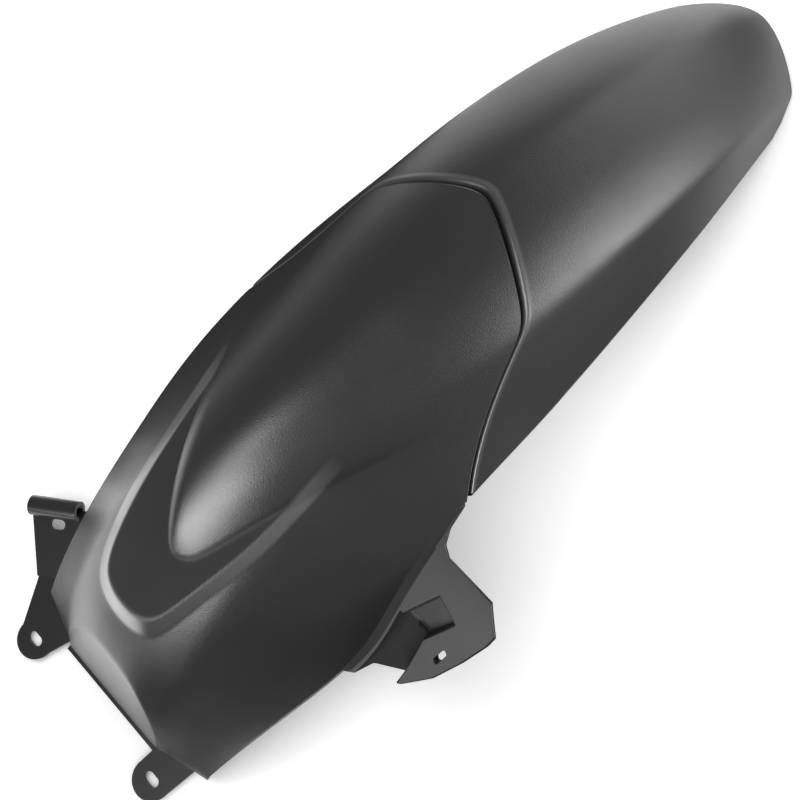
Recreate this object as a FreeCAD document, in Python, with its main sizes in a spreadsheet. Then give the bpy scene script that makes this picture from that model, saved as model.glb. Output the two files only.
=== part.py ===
import FreeCAD, Part
import math
import os
from FreeCAD import Placement, Rotation, Vector

# Rear-wheel mudguard with its extender: a moulded front shell, a moulded rear extender whose tongue is
# bonded under the shell's rear edge, and a pressed-steel bracket under the front lip.
# X runs to the tail, Y to the brake side and Z up. The part stands on its bracket and its tail.

# Driving dimensions, in millimetres and degrees
DIMENSIONS = {
    # Crown line, from the seam forwards in two arcs and backwards in one
    "seam_pitch": 13.6,
    "front_arc_length": 198.0,
    "front_arc_radius": 270.0,
    "crown_arc_length": 198.0,
    "crown_arc_radius": 360.0,
    "tail_arc_length": 283.0,
    "tail_arc_radius": 508.0,
    "wall": 3.0,
    # Raised V-shaped terrace and the bulge behind it, placed by their distance ahead of the seam
    "terrace_lead": 281.0,
    "terrace_trail": 125.0,
    "terrace_half_lead": 30.0,
    "terrace_half_trail": 62.0,
    "terrace_height": 9.0,
    "terrace_bevel": 12.0,
    "bulge_lead": 222.0,
    "bulge_trail": 118.0,
    "bulge_half": 47.0,
    "bulge_height": 10.0,
    "bulge_offset": 11.0,
    "bulge_fade": 110.0,
    # Flat facet and lip at the front end
    "facet_lean": 30.2,
    "facet_depth": 13.0,
    "lip_drop": 6.0,
    "lip_flare": 5.0,
    # Seam between shell and extender
    "seam_apex": 22.0,
    "seam_sweep": 28.0,
    "seam_skirt_run": 96.0,
    "seam_gap": 1.6,
    "joggle": 4.0,
    "tongue_length": 20.0,
    "bond_thickness": 0.9,
    "bond_clearance": 0.25,
    "bond_width": 12.0,
    "bond_inset": 4.0,
    # Tail outline
    "tail_sweep": 39.0,
    "tail_corner": 8.0,
    # Mount arm on the chain side
    "arm_lead": 132.0,
    "arm_reach": 60.0,
    "arm_length": 98.0,
    "arm_sink": 4.0,
    "pocket_depth": 12.0,
    "pocket_wall": 2.5,
    "arm_slot_length": 9.0,
    "arm_slot_width": 5.5,
    # Pressed-steel bracket
    "plate": 2.5,
    "seat_clearance": 0.2,
    "strap_lead": 3.0,
    "strap_width": 24.0,
    "strap_half": 46.0,
    "upstand_clearance": 1.0,
    "upstand_height": 16.0,
    "upstand_half": 26.0,
    "lug_spacing": 119.0,
    "lug_offset": 7.0,
    "lug_radius": 13.0,
    "lug_lead": 12.0,
    "lug_web_reach": 70.0,
    "ear_web_reach": 99.0,
    "slot_length": 11.0,
    "slot_width": 6.6,
    "hose_plate_length": 46.0,
    "hose_plate_foot": 10.5,
    "hose_plate_half": 20.0,
    "hose_roll_radius": 6.5,
    "hose_roll_length": 34.0,
}

# Half cross-sections at named stations along the crown: distance from the seam, then the shoulder's half
# width and drop below the crown, and the skirt edge's half width and depth below the crown
STATION_COLUMNS = ("place", "shoulder_half", "shoulder_drop", "skirt_half", "skirt_depth")
STATIONS = {
    "front": (-396.0, 46.0, 14.5, 78.0, 23.0),
    "knee": (-262.0, 43.0, 16.6, 98.0, 88.6),
    "waist": (-131.0, 42.0, 23.4, 90.0, 79.5),
    "seam": (0.0, 57.0, 29.0, 86.0, 81.6),
    "mid": (142.0, 58.0, 28.5, 74.0, 62.5),
    "tail": (283.0, 47.0, 23.6, 53.0, 36.8),
}

doc = FreeCAD.newDocument("mudguard_extender")
sheet = doc.addObject("Spreadsheet::Sheet", "Sizes")


def fill_sheet():
    """Write every driving dimension to a cell of its own, under its name, and read it back."""
    cells = dict(DIMENSIONS)
    for station, values in STATIONS.items():
        for column, value in zip(STATION_COLUMNS, values):
            cells[f"{column}_{station}"] = value
    for row, (name, value) in enumerate(cells.items(), start=1):
        sheet.set(f"A{row}", name)
        sheet.set(f"B{row}", str(value))
        sheet.setAlias(f"B{row}", name)
    doc.recompute()
    return {name: float(sheet.get(name)) for name in cells}


size = fill_sheet()
FRONT_END = -(size["crown_arc_length"] + size["front_arc_length"])
TAIL_END = size["tail_arc_length"]
SHOULDER = 0.5  # share of the way from crown to skirt edge at which the shoulder lies


# Crown line, cross-section and relief of the moulded form

def smooth(t):
    """Smooth step from 0 at t = 0 to 1 at t = 1."""
    t = min(1.0, max(0.0, t))
    return t * t * (3.0 - 2.0 * t)


def soft_min(a, b, radius):
    """The smaller of two values, with the corner between them rounded."""
    return 0.5 * (a + b - math.hypot(a - b, radius))


def arc_step(angle, turn, radius):
    """Travel along X and Z on an arc that starts at a slope angle and turns by turn."""
    return (radius * (math.sin(angle + turn) - math.sin(angle)),
            radius * (math.cos(angle) - math.cos(angle + turn)))


def crown(s):
    """X, Z and slope angle of the crown line at arc length s from the seam, tail side positive."""
    start = -math.radians(size["seam_pitch"])
    if s >= 0.0:
        turn = s / size["tail_arc_radius"]
        dx, dz = arc_step(-start, turn, size["tail_arc_radius"])
        return dx, -dz, start - turn
    near = min(-s, size["crown_arc_length"])
    turn = near / size["crown_arc_radius"]
    dx, dz = arc_step(start, turn, size["crown_arc_radius"])
    x, z, angle = -dx, -dz, start + turn
    far = -s - near
    if far > 0.0:
        turn = far / size["front_arc_radius"]
        dx, dz = arc_step(angle, turn, size["front_arc_radius"])
        x, z, angle = x - dx, z - dz, angle + turn
    return x, z, angle


def station_curve(column):
    """Places, values and slopes of one section size, for a cubic curve through the stations."""
    places = [size[f"place_{name}"] for name in STATIONS]
    values = [size[f"{column}_{name}"] for name in STATIONS]
    last = len(places) - 1
    chords = [(values[k + 1] - values[k]) / (places[k + 1] - places[k]) for k in range(last)]
    slopes = [0.5 * (chords[max(k - 1, 0)] + chords[min(k, last - 1)]) for k in range(last + 1)]
    return places, values, slopes


SECTION_CURVES = [station_curve(column) for column in STATION_COLUMNS[1:]]


def section(s):
    """Shoulder half width and drop, skirt half width and depth at arc length s."""
    sizes = []
    for places, values, slopes in SECTION_CURVES:
        i = max([k for k in range(len(places) - 1) if places[k] <= s], default=0)
        span = places[i + 1] - places[i]
        t = min(1.0, max(0.0, (s - places[i]) / span))
        bend = (1.0 - t) * slopes[i] - t * slopes[i + 1]
        sizes.append(values[i] + (values[i + 1] - values[i]) * smooth(t) + span * t * (1.0 - t) * bend)
    return sizes


TERRACE_CORNER = 12.0  # rounding of the terrace's front corners in plan
TERRACE_FRONT = 1.4  # width of the bevel in front, as a multiple of the width at the sides
EDGE_ROUND = 0.3  # rounding of the bevel's two edges, as a share of its width


def chamfer(t):
    """Straight ramp from 0 at t = 0 to 1 at t = 1, with both ends rounded."""
    return 0.5 * (math.hypot(t, EDGE_ROUND) - math.hypot(t - 1.0, EDGE_ROUND) + 1.0)


def terrace(s, y):
    """Height of the V-shaped terrace: bevelled all round, highest in front, sinking into the crown."""
    run = (s + size["terrace_lead"]) / (size["terrace_lead"] - size["terrace_trail"])
    half = size["terrace_half_lead"] + (size["terrace_half_trail"] - size["terrace_half_lead"]) * run
    front = (s + size["terrace_lead"]) / TERRACE_FRONT
    inside = soft_min(half - abs(y), front, TERRACE_CORNER)
    left = max(0.0, 1.0 - max(0.0, run))
    return size["terrace_height"] * left ** 2 * max(0.0, chamfer(inside / size["terrace_bevel"]))


def bulge(s, y):
    """Height of the bulge that climbs from the terrace into the crown; its nose lies nearer the chain side."""
    run = max(1e-6, (s + size["bulge_lead"]) / (size["bulge_lead"] - size["bulge_trail"]))
    middle = -size["bulge_offset"] * (1.0 - min(run, 1.0))
    across = abs(y - middle) / (size["bulge_half"] * run ** 0.75)
    rise = 1.0 - (1.0 - min(run, 1.0)) ** 2
    fade = 1.0 - smooth((s + size["bulge_trail"]) / size["bulge_fade"])
    return size["bulge_height"] * rise * fade * max(0.0, 1.0 - across ** 2) ** 1.5


LEAN = math.radians(size["facet_lean"])
FACET_NORMAL = Vector(-math.cos(LEAN), 0.0, math.sin(LEAN))
FRONT_X, FRONT_Z, FRONT_ANGLE = crown(FRONT_END)
FACET_OFFSET = FACET_NORMAL.dot(Vector(FRONT_X, 0.0, FRONT_Z)) - size["facet_depth"]


def outer(s, q):
    """Point of the outer surface at arc length s and share q across, -1 and 1 at the skirt edges."""
    shoulder_half, shoulder_drop, skirt_half, skirt_depth = section(s)
    across = abs(q)
    if across <= SHOULDER:
        share = across / SHOULDER
        y = shoulder_half * share
        drop = shoulder_drop * share * share
    else:
        share = (across - SHOULDER) / (1.0 - SHOULDER)
        y = shoulder_half + (skirt_half - shoulder_half) * share
        drop = shoulder_drop + (skirt_depth - shoulder_drop) * share
    drop -= terrace(s, y) + bulge(s, math.copysign(y, q))
    x, z, angle = crown(s)
    point = Vector(x + drop * math.sin(angle), math.copysign(y, q), z - drop * math.cos(angle))
    proud = FACET_NORMAL.dot(point) - FACET_OFFSET
    if proud > 0.0:
        point = point - FACET_NORMAL * proud
    return point


def inset(s, q, depth):
    """Point at a depth below the outer surface, along its normal."""
    ds, dq = 0.5, 0.005
    along = outer(s + ds, q) - outer(s - ds, q)
    sideways = outer(s, q + dq) - outer(s, q - dq)
    normal = along.cross(sideways)
    normal.normalize()
    return outer(s, q) - normal * depth


# Outlines, each as the arc length at a share q across

def lip(q):
    """Front edge of the shell, drawn down in the middle to meet the bracket."""
    return FRONT_END - size["lip_flare"] - size["lip_drop"] * (1.0 - smooth((abs(q) - 0.25) / 0.5))


APEX_ROUND = 0.05
CORNER_ROUND = 0.06


def seam(q):
    """Rear edge of the shell: an arrow with its apex on the centre line and a corner on each shoulder."""
    across = abs(q)
    top = math.hypot(across, APEX_ROUND) - APEX_ROUND
    side = 0.5 * (across - SHOULDER + math.hypot(across - SHOULDER, CORNER_ROUND))
    on_top = size["seam_sweep"] / SHOULDER
    on_skirt = size["seam_skirt_run"] / (1.0 - SHOULDER)
    return size["seam_apex"] - on_top * top - (on_skirt - on_top) * side


def tail(q):
    """Rear edge of the extender: rounded back to the sides, with a turned-in lower corner."""
    across = abs(q)
    return TAIL_END - size["tail_sweep"] * across ** 2 - size["tail_corner"] * smooth((across - 0.8) / 0.2)


# Moulded sheets as solids

# Columns across a moulding, as shares q: the top between the shoulders, and the skirt on either side
TOP = [SHOULDER * k / 10 for k in range(-10, 11)]
RIGHT_SKIRT = [-1.0, -0.85, -0.75, -0.66, -0.6, -0.55, -SHOULDER]
LEFT_SKIRT = [-q for q in RIGHT_SKIRT[::-1]]
COLUMNS = [RIGHT_SKIRT, TOP, LEFT_SKIRT]


def travel(lines):
    """Mean distance travelled from one line of points to the next, for spacing a curve's parameters."""
    steps = [0.0]
    for first, second in zip(lines, lines[1:]):
        apart = [a.distanceToPoint(b) for a, b in zip(first, second)]
        steps.append(steps[-1] + sum(apart) / len(apart))
    return steps


def through(points, parameters):
    """Smooth curve through points at given parameters."""
    curve = Part.BSplineCurve()
    curve.interpolate(Points=list(points), Parameters=parameters)
    return curve


def skin(grid, along_steps, across_steps):
    """Smooth surface through a grid of points, whose rows and columns lie at given parameters."""
    along = [through(line, along_steps) for line in zip(*grid)]
    across = [through(line, across_steps) for line in zip(*[curve.getPoles() for curve in along])]
    surface = Part.BSplineSurface()
    surface.buildFromPolesMultsKnots([curve.getPoles() for curve in across],
                                     along[0].getMultiplicities(), across[0].getMultiplicities(),
                                     along[0].getKnots(), across[0].getKnots(), False, False, 3, 3)
    return surface


def skins(bands, groups, point):
    """A surface for each band of rows and group of columns; neighbours share the curve between them."""
    grids = [[[[point(row, q) for q in group] for row in band] for group in groups] for band in bands]
    along = [travel([sum(parts, []) for parts in zip(*band)]) for band in grids]
    across = [travel(list(zip(*sum(column, [])))) for column in zip(*grids)]
    return [[skin(grid, along[b], across[g]) for g, grid in enumerate(band)] for b, band in enumerate(grids)]


def moulding(bands, groups, top_point, under_point, under_step=1):
    """Closed solid between two sets of skins, with ruled edges all round; the under side may skip lines."""
    tops = skins(bands, groups, top_point)
    unders = skins([band[::under_step] for band in bands], [group[::under_step] for group in groups], under_point)
    rims = []
    for top, under in zip(tops, unders):
        rims.append([surface.vIso(surface.bounds()[2]) for surface in (top[0], under[0])])
        rims.append([surface.vIso(surface.bounds()[3]) for surface in (top[-1], under[-1])])
    for band, end in ((0, 0), (-1, 1)):
        for pair in zip(tops[band], unders[band]):
            rims.append([surface.uIso(surface.bounds()[end]) for surface in pair])
    faces = [surface.toShape() for surface in sum(tops + unders, [])]
    faces += [Part.makeRuledSurface(upper.toShape(), lower.toShape()) for upper, lower in rims]
    shell = Part.makeShell(faces)
    shell.sewShape()
    solid = Part.makeSolid(shell)
    if solid.Volume < 0.0:
        solid.reverse()
    return solid


def add_piece(name, shape):
    """Document object of one moulded piece."""
    piece = doc.addObject("Part::Feature", name)
    piece.Label = name
    piece.Shape = shape
    return piece


# Mount arm: a flange along the skirt's lower edge with a pressed-in pocket and a bolt slot

ARM_ROOT = outer(-size["arm_lead"], -1.0)
ARM_RUN = outer(-size["arm_lead"] - size["arm_length"], -1.0) - ARM_ROOT
ARM_ALONG = Vector(ARM_RUN.x, 0.0, ARM_RUN.z)
ARM_ALONG.normalize()
ARM_OUT = Vector(0.0, -1.0, 0.0)
ARM_UP = ARM_ALONG.cross(ARM_OUT)


def arm_point(along, out, up):
    """Point in the arm's own frame: along the skirt edge, outwards, and up."""
    return ARM_ROOT + ARM_ALONG * along + ARM_OUT * out + ARM_UP * up


def arm_prism(outline, low, high):
    """Prism over an outline in the arm's frame, between two levels."""
    corners = [arm_point(along, out, low) for along, out in outline]
    face = Part.Face(Part.makePolygon(corners + corners[:1]))
    return face.extrude(ARM_UP * (high - low))


def mount_arm():
    """Flange and pocket pan, and the cuts for the pocket's hollow and the bolt slot."""
    reach = size["arm_reach"]
    length = size["arm_length"]
    half_wall = 0.5 * size["wall"]
    rim = size["pocket_wall"]
    sink = size["arm_sink"]
    floor = -half_wall - size["pocket_depth"]
    flange = arm_prism([(-12.0, -sink), (1.0, 8.0), (5.5, 14.0), (5.5, reach - 14.0), (19.0, reach),
                        (27.0, reach), (length - 14.0, reach - 21.0), (length, 12.0), (length, -sink)],
                       -half_wall, half_wall)
    hollow = [(25.0, 23.0), (46.0, 11.0), (length - 4.0, 13.5), (length - 17.0, 36.0), (50.0, 33.0), (32.0, 39.0)]
    pan = [(25.0 - rim, 23.0 - rim), (46.0, 11.0 - rim), (length - 4.0, 13.5 - rim),
           (length - 17.0, 36.0 + rim), (50.0, 33.0 + rim), (32.0 - rim, 39.0 + rim)]
    mouth = [(length - 30.0, 15.0), (length + 10.0, 15.0), (length + 10.0, 34.0), (length - 30.0, 34.0)]
    solid = flange.fuse(arm_prism(pan, floor - rim, 0.0))
    cuts = [arm_prism(hollow, floor, half_wall + 1.0), arm_prism(mouth, floor, half_wall + 1.0)]
    slot_half = 0.5 * (size["arm_slot_length"] - size["arm_slot_width"])
    middle = (52.0, reach - 16.5)
    radius = 0.5 * size["arm_slot_width"]
    for shift in (-slot_half, slot_half):
        base = arm_point(middle[0] + shift, middle[1], -4.0 * half_wall)
        cuts.append(Part.makeCylinder(radius, 8.0 * half_wall, base, ARM_UP))
    cuts.append(arm_prism([(middle[0] - slot_half, middle[1] - radius), (middle[0] + slot_half, middle[1] - radius),
                           (middle[0] + slot_half, middle[1] + radius), (middle[0] - slot_half, middle[1] + radius)],
                          -4.0 * half_wall, 4.0 * half_wall))
    return solid, cuts


def mudguard_shell():
    """Front moulding: the crowned shell with its terrace and bulge, and the mount arm moulded on."""
    lead = [0.04 * k for k in range(7)]
    relief = [0.268 + 0.026 * k for k in range(14)]
    rows = lead + relief + [0.65, 0.72, 0.79, 0.85, 0.9, 0.94, 0.97, 1.0]

    def place(row, q):
        return lip(q) + row * (seam(q) - lip(q))

    shape = moulding([rows], COLUMNS,
                     lambda row, q: outer(place(row, q), q),
                     lambda row, q: inset(place(row, q), q, size["wall"]), under_step=2)
    arm, cuts = mount_arm()
    shape = shape.fuse(arm)
    for cut in cuts:
        shape = shape.cut(cut)
    return shape.removeSplitter()


def rear_extender():
    """Rear moulding, with a tongue stepped down to lap under the shell's rear edge."""
    step = size["wall"] + size["bond_thickness"]
    joggle = size["joggle"]
    tongue = size["tongue_length"]
    lap = [(tongue * (k / 3 - 1.0), 0.0) for k in range(4)]
    ramp = [(joggle * k / 3, 0.0) for k in range(4)]
    body = [(joggle, (k / 14) ** 1.3) for k in range(15)]

    def place(row, q):
        shift, share = row
        start = seam(q) + size["seam_gap"] + shift
        return start + share * (tail(q) - start)

    def depth(row, q):
        return step * (1.0 - max(0.0, row[0] / joggle))

    return moulding([lap, ramp, body], COLUMNS,
                    lambda row, q: inset(place(row, q), q, depth(row, q)),
                    lambda row, q: inset(place(row, q), q, depth(row, q) + size["wall"]))


def bonding_strip():
    """Adhesive tape between the extender's tongue and the underside of the shell."""
    rows = [-size["bond_inset"] - size["bond_width"] * k / 3 for k in range(4)]
    groups = [RIGHT_SKIRT[1:], TOP, LEFT_SKIRT[:-1]]
    top = size["wall"] + size["bond_clearance"]
    under = size["wall"] + size["bond_thickness"] - size["bond_clearance"]
    return moulding([rows], groups,
                    lambda row, q: inset(seam(q) + row, q, top),
                    lambda row, q: inset(seam(q) + row, q, under))


# Pressed-steel bracket: strap under the lip, two bolt lugs, an upstand behind the facet and the hose plate

LIP_LEVEL = min(inset(lip(q), q, depth).z for q in sum(COLUMNS, []) for depth in (0.0, size["wall"]))
STRAP_TOP = LIP_LEVEL - size["seat_clearance"]
STRAP_FRONT = outer(lip(0.0), 0.0).x - size["strap_lead"]
LUG_X = STRAP_FRONT - size["lug_lead"]
STRAP_BACK = STRAP_FRONT + size["strap_width"]
FLAT = Rotation(Vector(0.0, 0.0, 1.0), 90.0)  # turns a wedge's length to run forwards


def primitive(kind, name, place, turn, **bound):
    """Solid primitive at a place, with its sizes bound to the sheet."""
    solid = doc.addObject("Part::" + kind, name)
    solid.Placement = Placement(place, turn)
    for name, expression in bound.items():
        solid.setExpression(name, expression)
    return solid


def box(name, place, turn, length, width, height):
    """Box with its three sizes bound to the sheet."""
    return primitive("Box", name, place, turn, Length=length, Width=width, Height=height)


def web(name, foot, foot_range, tip_range, run):
    """Flat tapered plate that runs forwards from its foot, with its widths bound to the sheet."""
    return primitive("Wedge", name, foot, FLAT, Ymin="0", Ymax=run, Zmin="0", Zmax="Sizes.plate",
                     Z2min="0", Z2max="Sizes.plate", Xmin=foot_range[0], Xmax=foot_range[1],
                     X2min=tip_range[0], X2max=tip_range[1])


def slot_tools(name, centre, along, up):
    """Cutting tools of one bolt slot: a box between two rounded ends."""
    turn = Rotation(along, up.cross(along), up, "XYZ")
    reach = 4.0 * size["plate"]
    half = 0.5 * (size["slot_length"] - size["slot_width"])
    radius = 0.5 * size["slot_width"]
    low = centre - up * (0.5 * reach)
    tools = []
    for end in (-1, 1):
        tools.append(primitive("Cylinder", f"{name}_end_{end + 1}", low + along * (end * half), turn,
                               Radius="Sizes.slot_width / 2", Height="4 * Sizes.plate"))
    corner = low - along * half - up.cross(along) * radius
    tools.append(box(f"{name}_middle", corner, turn, "Sizes.slot_length - Sizes.slot_width",
                     "Sizes.slot_width", "4 * Sizes.plate"))
    return tools


def front_bracket():
    """Bracket built from flat plates in the strap's plane, an upstand, and the folded hose plate."""
    plate = size["plate"]
    low = STRAP_TOP - plate
    level = Rotation()
    lug_places = {side: size["lug_offset"] + side * 0.5 * size["lug_spacing"] for side in (-1, 1)}
    run = "Sizes.strap_width + Sizes.lug_lead"
    ear_centre = "Sizes.lug_offset + Sizes.lug_spacing / 2"
    lug_centre = "Sizes.lug_offset - Sizes.lug_spacing / 2"
    foot = Vector(STRAP_BACK, 0.0, low)
    pieces = [
        box("strap", Vector(STRAP_FRONT, -size["strap_half"], low), level,
            "Sizes.strap_width", "2 * Sizes.strap_half", "Sizes.plate"),
        web("ear_web", foot, ("Sizes.strap_half - 4", "Sizes.ear_web_reach"),
            (ear_centre + " - Sizes.lug_radius", ear_centre + " + Sizes.lug_radius"), run),
        web("lug_web", foot, ("-Sizes.lug_web_reach", "4 - Sizes.strap_half"),
            (lug_centre + " - Sizes.lug_radius", lug_centre + " + Sizes.lug_radius"), run),
    ]
    for side in (-1, 1):
        pieces.append(primitive("Cylinder", f"lug_{side + 1}", Vector(LUG_X, lug_places[side], low), level,
                                Radius="Sizes.lug_radius", Height="Sizes.plate"))

    # The upstand lies behind the facet's inner face and grows out of the strap.
    tangent = Vector(math.sin(LEAN), 0.0, math.cos(LEAN))
    back = FACET_OFFSET - size["wall"] - size["upstand_clearance"] - plate
    sunk = STRAP_TOP - 0.5 * plate
    base_x = (back - FACET_NORMAL.z * sunk) / FACET_NORMAL.x
    upright = Rotation(FACET_NORMAL, Vector(0.0, -1.0, 0.0), tangent, "XYZ")
    pieces.append(box("upstand", Vector(base_x, size["upstand_half"], sunk), upright,
                      "Sizes.plate", "2 * Sizes.upstand_half", "Sizes.upstand_height"))

    # The hose plate leaves the ear's web, climbs outwards and back, and ends in a rolled hook.
    climb = Vector(0.80, 0.58, 0.17)
    climb.normalize()
    across = Vector(-climb.y, climb.x, 0.0)
    across.normalize()
    up = across.cross(climb)
    if up.z < 0.0:
        across = across * -1.0
        up = across.cross(climb)
    tilt = Rotation(across, climb, up, "XYZ")
    root = Vector(STRAP_BACK - 2.0, size["ear_web_reach"] - 11.5, low)
    pieces.append(primitive("Wedge", "hose_plate", root, tilt, Ymin="0", Ymax="Sizes.hose_plate_length",
                            Zmin="0", Zmax="Sizes.plate", Z2min="0", Z2max="Sizes.plate",
                            Xmin="-Sizes.hose_plate_foot", Xmax="Sizes.hose_plate_foot",
                            X2min="-Sizes.hose_plate_half", X2max="Sizes.hose_plate_half"))
    roll_radius = size["hose_roll_radius"]
    roll_foot = root + climb * size["hose_plate_length"] + up * roll_radius - across * (0.5 * size["hose_roll_length"])
    roll_turn = Rotation(up * -1.0, climb, across, "ZXY")
    roll = primitive("Cylinder", "hose_roll_outer", roll_foot, roll_turn, Radius="Sizes.hose_roll_radius",
                     Height="Sizes.hose_roll_length", Angle="270")
    bore = primitive("Cylinder", "hose_roll_bore", roll_foot - across, roll_turn,
                     Radius="Sizes.hose_roll_radius - Sizes.plate", Height="Sizes.hose_roll_length + 2")
    hook = doc.addObject("Part::Cut", "hose_roll")
    hook.Base, hook.Tool = roll, bore
    pieces.append(hook)

    body = doc.addObject("Part::MultiFuse", "bracket_plates")
    body.Shapes = pieces
    sideways = Vector(0.0, 1.0, 0.0)
    vertical = Vector(0.0, 0.0, 1.0)
    tools = []
    for side in (-1, 1):
        tools += slot_tools(f"lug_slot_{side + 1}", Vector(LUG_X, lug_places[side], low), sideways, vertical)
    tools += slot_tools("hose_slot", root + climb * (0.76 * size["hose_plate_length"]), across, up)
    slots = doc.addObject("Part::MultiFuse", "bracket_slots")
    slots.Shapes = tools
    bracket = doc.addObject("Part::Cut", "front_bracket")
    bracket.Label = "front_bracket"
    bracket.Base, bracket.Tool = body, slots
    return bracket


pieces = [
    add_piece("mudguard_shell", mudguard_shell()),
    add_piece("rear_extender", rear_extender()),
    add_piece("bonding_strip", bonding_strip()),
    front_bracket(),
]
doc.recompute()


def stand(pieces):
    """Place every piece so that the part stands on Z = 0, with the origin under the middle of its box."""
    whole = Part.makeCompound([piece.Shape for piece in pieces]).optimalBoundingBox(False)
    shift = Vector(-0.5 * (whole.XMin + whole.XMax), -0.5 * (whole.YMin + whole.YMax), -whole.ZMin)
    for piece in pieces:
        piece.Placement = Placement(shift, Rotation())
    doc.recompute()


stand(pieces)
for item in doc.Objects:
    if "Invalid" in item.State or "Error" in item.State:
        raise RuntimeError(f"{item.Name} failed: {item.State}")
os.makedirs("parts", exist_ok=True)
for piece in pieces:
    if piece.Shape.isNull() or not piece.Shape.isValid():
        raise RuntimeError(f"{piece.Label} has no valid shape")
for piece in pieces:
    piece.Shape.exportStep(f"parts/{piece.Label}.step")
    box_ = piece.Shape.optimalBoundingBox(False)
    print(piece.Label, len(piece.Shape.Solids), "solid", round(piece.Shape.Volume), "mm3", box_)
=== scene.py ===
import math

import bpy
import numpy as np
from mathutils import Matrix, Vector


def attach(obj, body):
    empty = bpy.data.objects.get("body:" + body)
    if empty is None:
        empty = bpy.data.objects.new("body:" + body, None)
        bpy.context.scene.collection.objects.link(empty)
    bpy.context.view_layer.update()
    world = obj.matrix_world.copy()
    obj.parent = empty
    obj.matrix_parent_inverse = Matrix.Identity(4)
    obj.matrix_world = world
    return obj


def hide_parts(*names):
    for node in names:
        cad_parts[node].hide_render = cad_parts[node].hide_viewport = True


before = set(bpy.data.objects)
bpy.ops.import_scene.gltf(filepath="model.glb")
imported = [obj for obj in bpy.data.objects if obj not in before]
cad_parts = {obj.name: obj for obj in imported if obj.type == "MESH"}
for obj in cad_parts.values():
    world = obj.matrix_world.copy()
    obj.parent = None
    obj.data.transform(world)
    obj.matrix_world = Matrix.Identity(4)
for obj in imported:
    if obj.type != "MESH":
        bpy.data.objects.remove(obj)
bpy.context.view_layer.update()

# Mudguard shell. The front moulding of a rear-wheel hugger, injection-moulded in black ABS about 3 mm thick: a crown
# that falls to a skirt on each side, a V-shaped terrace with a bulge climbing out of it, and a flat facet in front.
# It is held by its side arm and by the bracket under its lip. Lengths are in millimetres until a mesh is made.

SEAM_ORIGIN = np.array([62.647, 9.503, 149.352])  # crown point at the seam's level, in the part's frame
PITCH = math.radians(13.6)  # tilt of the crown at that point
CROWN_ARC, FRONT_ARC, TAIL_ARC = 198.0, 198.0, 283.0
CROWN_RADIUS, FRONT_RADIUS, TAIL_RADIUS = 360.0, 270.0, 508.0
NOSE = -CROWN_ARC - FRONT_ARC
WALL, RIM = 3.0, 0.7
STATION_PLACES = np.array([NOSE, -262.0, -131.0, 0.0, 142.0, TAIL_ARC])  # arc lengths of the cross-sections
SHOULDER_HALF = np.array([46.0, 43.0, 42.0, 57.0, 58.0, 47.0])
SHOULDER_DROP = np.array([14.5, 16.6, 23.4, 29.0, 28.5, 23.6])
SKIRT_HALF = np.array([78.0, 98.0, 90.0, 86.0, 74.0, 53.0])
SKIRT_DEPTH = np.array([23.0, 88.6, 79.5, 81.6, 62.5, 34.2])


def smooth(t):
    """Smooth step from 0 at t = 0 to 1 at t = 1: three times the square of t less twice its cube."""
    t = np.clip(t, 0.0, 1.0)
    return t * t * (3.0 - 2.0 * t)


def crown(s):
    """X, Z and slope of the crown at arc length s, arc by arc: the slope turns by run over radius, x grows by the
    radius times the loss in the slope's sine, and z by the radius times the gain in its cosine."""
    slope = np.full_like(s, -PITCH)
    x = np.zeros_like(s)
    z = np.zeros_like(s)
    for run, radius in ((np.maximum(s, 0.0), TAIL_RADIUS),
                        (np.clip(s, -CROWN_ARC, 0.0), CROWN_RADIUS),
                        (np.minimum(s + CROWN_ARC, 0.0), FRONT_RADIUS)):
        turned = slope - run / radius
        x += radius * (np.sin(slope) - np.sin(turned))
        z += radius * (np.cos(turned) - np.cos(slope))
        slope = turned
    return x, z, slope


def along_stations(values, s):
    """Smooth curve through the station values: a smooth step over each span, plus a term that gives the span's ends
    the mean slope of the neighbouring chords."""
    chords = np.diff(values) / np.diff(STATION_PLACES)
    slopes = 0.5 * (np.r_[chords[0], chords] + np.r_[chords, chords[-1]])
    i = np.clip(np.searchsorted(STATION_PLACES, s, side="right") - 1, 0, len(values) - 2)
    span = STATION_PLACES[i + 1] - STATION_PLACES[i]
    t = np.clip((s - STATION_PLACES[i]) / span, 0.0, 1.0)
    bend = (1.0 - t) * slopes[i] - t * slopes[i + 1]
    return values[i] + (values[i + 1] - values[i]) * smooth(t) + span * t * (1.0 - t) * bend


def chamfer(t, soft):
    """Straight ramp from 0 at t = 0 to 1 at t = 1 with both ends rounded over a share soft: half of one more than
    the hypotenuse of t and soft less that of t - 1 and soft."""
    return 0.5 * (np.hypot(t, soft) - np.hypot(t - 1.0, soft) + 1.0)


def lesser(a, b, rounding):
    """Lesser of two lengths with the corner rounded: half of their sum less the hypotenuse of gap and rounding."""
    return 0.5 * (a + b - np.hypot(a - b, rounding))


TERRACE_FRONT, TERRACE_END = -281.0, -125.0
TERRACE_LEFT, TERRACE_RIGHT, TERRACE_RIGHT_MOST = 30.0, 24.4, 43.0
TERRACE_LEFT_SPREAD, TERRACE_RIGHT_SPREAD = 0.205, 0.22
TERRACE_RIGHT_STEEP, TERRACE_FRONT_STEEP = 2.2, 1.0 / 1.4
BEVEL_WIDTH, BEVEL_HEIGHT = 12.0, 8.0
FLOOR_SINK, FLOOR_RUN = 6.0, 30.0


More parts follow.
